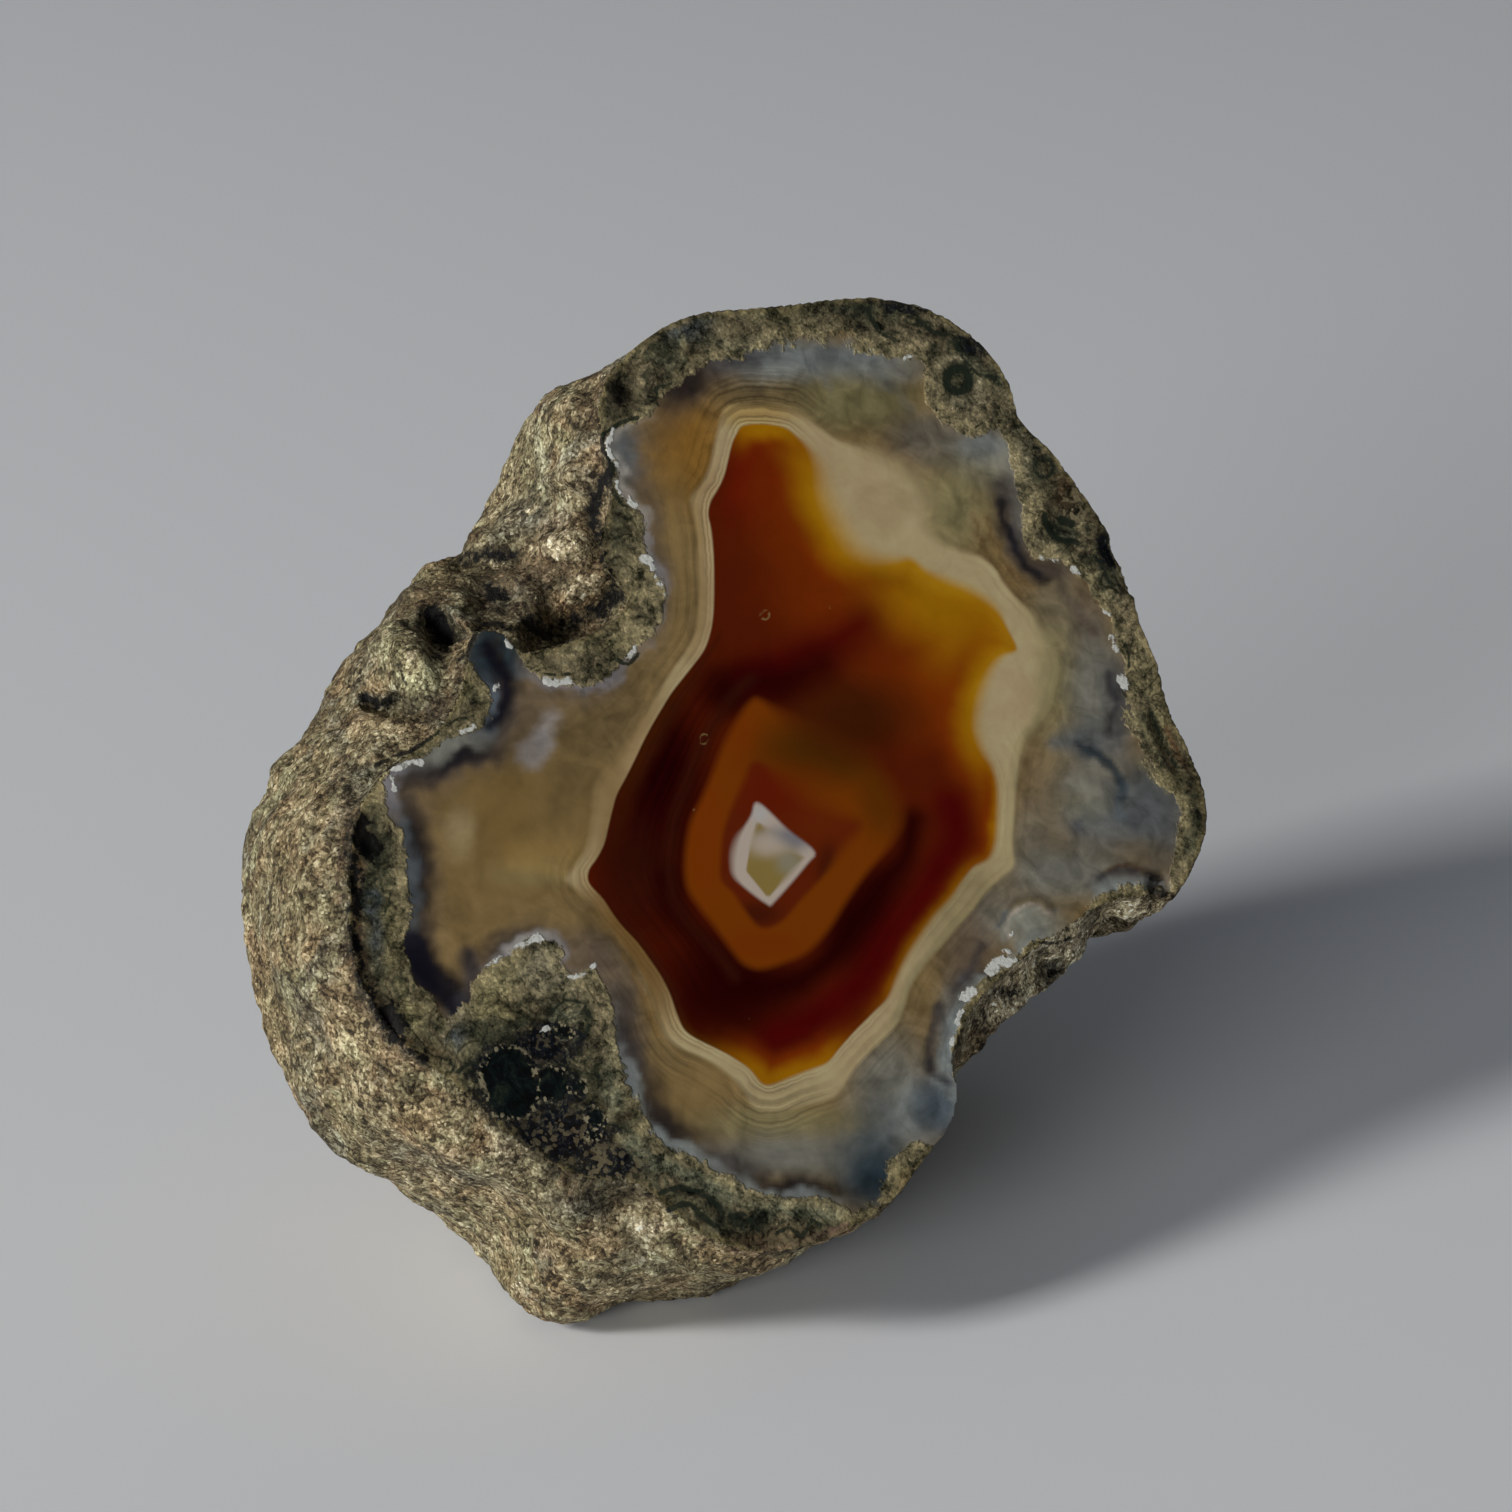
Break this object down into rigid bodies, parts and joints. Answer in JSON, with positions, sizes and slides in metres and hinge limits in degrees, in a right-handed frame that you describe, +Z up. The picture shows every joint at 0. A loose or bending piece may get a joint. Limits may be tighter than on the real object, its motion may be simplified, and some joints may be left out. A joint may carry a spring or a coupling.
{
  "type": "laguna agate half nodule",
  "caption": "Sawn and polished half of a banded agate nodule, resting on its rough rind with the face leaning back.",
  "frame": {"origin": "on the surface the stone rests on, under the middle of its box", "axes": "+Z up; the polished face looks toward -Y, leaning back 39 degrees and turned 32 degrees toward +X"},
  "size_m": [0.0798, 0.0806, 0.0696],
  "materials": {
    "agate": "polished banded face in oxblood, amber, cream and grey; rough tan-brown rind behind"
  },
  "bodies": {
    "root": {"agate": "agate"}
  },
  "joints": []
}
